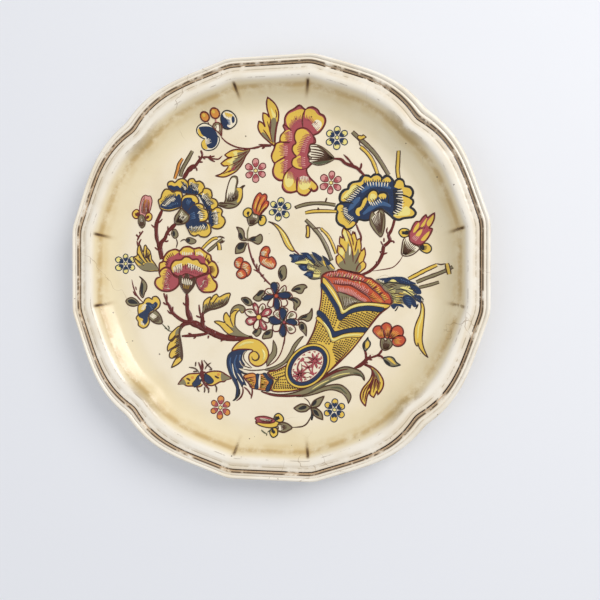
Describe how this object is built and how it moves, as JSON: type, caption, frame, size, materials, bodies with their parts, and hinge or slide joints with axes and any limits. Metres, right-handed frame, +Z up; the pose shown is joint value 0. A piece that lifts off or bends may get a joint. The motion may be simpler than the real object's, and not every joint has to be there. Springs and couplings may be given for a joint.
{
  "type": "hand painted ceramic plate",
  "caption": "Round ceramic plate with a moulded lobed rim, a flat painted floor and a foot ring, decorated with a horn of plenty, carnations and a butterfly in fired enamel.",
  "frame": {"origin": "on the table, under the centre of the plate, in the plane of the foot ring's resting face", "axes": "+Z up out of the painted face, +Y towards the top of the picture, +X to its right"},
  "size_m": [0.26, 0.26, 0.0194],
  "materials": {
    "clay": "unglazed fired clay, matt",
    "glaze": "glossy cream glaze, umber stain in the mouldings",
    "enamel_rose": "fired enamel, glossy, brushed",
    "enamel_blue": "fired enamel, glossy, brushed",
    "enamel_yellow": "fired enamel, glossy, brushed",
    "enamel_olive": "fired enamel, glossy, brushed",
    "enamel_orange": "fired enamel, glossy, brushed",
    "enamel_maroon": "fired enamel, glossy, drawn outline"
  },
  "bodies": {
    "root": {"clay_body": "clay", "face_glaze": "glaze", "back_glaze": "glaze", "base_glaze": "glaze", "bud_blue_northwest": "enamel_blue", "leaf_northwest": "enamel_yellow", "leaf_north": "enamel_yellow", "carnation_rose_north": "enamel_rose", "floret_crimson_north": "enamel_rose", "floret_crimson_northeast": "enamel_rose", "floret_blue_northeast": "enamel_blue", "floret_blue_centre": "enamel_blue", "floret_blue_west": "enamel_blue", "floret_orange_south": "enamel_orange", "floret_yellow_south": "enamel_yellow", "carnation_blue_west": "enamel_blue", "branch_northwest": "enamel_maroon", "leaf_curly": "enamel_olive", "bud_rose_west": "enamel_rose", "leaf_fan_west": "enamel_yellow", "branch_west": "enamel_maroon", "carnation_rose_west": "enamel_rose", "sticks_west": "enamel_yellow", "branch_main": "enamel_maroon", "bud_blue_southwest": "enamel_blue", "leaf_branch": "enamel_olive", "leaf_hanging": "enamel_yellow", "butterfly": "enamel_yellow", "horn_scroll": "enamel_yellow", "horn_plumes": "enamel_blue", "horn_collar": "enamel_orange", "horn_cartouche": "enamel_rose", "horn_shell": "enamel_orange", "crown_leaf": "enamel_yellow", "feather_west": "enamel_blue", "feather_east": "enamel_olive", "horn_body": "enamel_yellow", "sticks_north": "enamel_yellow", "ribbon_west": "enamel_yellow", "sticks_east": "enamel_yellow", "ribbon_east": "enamel_yellow", "carnation_blue_east": "enamel_blue", "sticks_blue_west": "enamel_yellow", "sticks_blue_north": "enamel_olive", "branch_east": "enamel_maroon", "bud_crimson_east": "enamel_rose", "bud_orange_centre": "enamel_orange", "blossom_orange_left": "enamel_orange", "blossom_orange_right": "enamel_orange", "stem_centre": "enamel_maroon", "posy_blue_upper": "enamel_blue", "posy_blue_lower": "enamel_blue", "posy_rose": "enamel_rose", "scroll_leaf": "enamel_yellow", "acanthus_long": "enamel_olive", "branch_southeast": "enamel_maroon", "blossom_orange_east": "enamel_orange", "leaf_southeast": "enamel_yellow", "bud_south": "enamel_rose", "trefoil_south": "enamel_olive"}
  },
  "joints": []
}
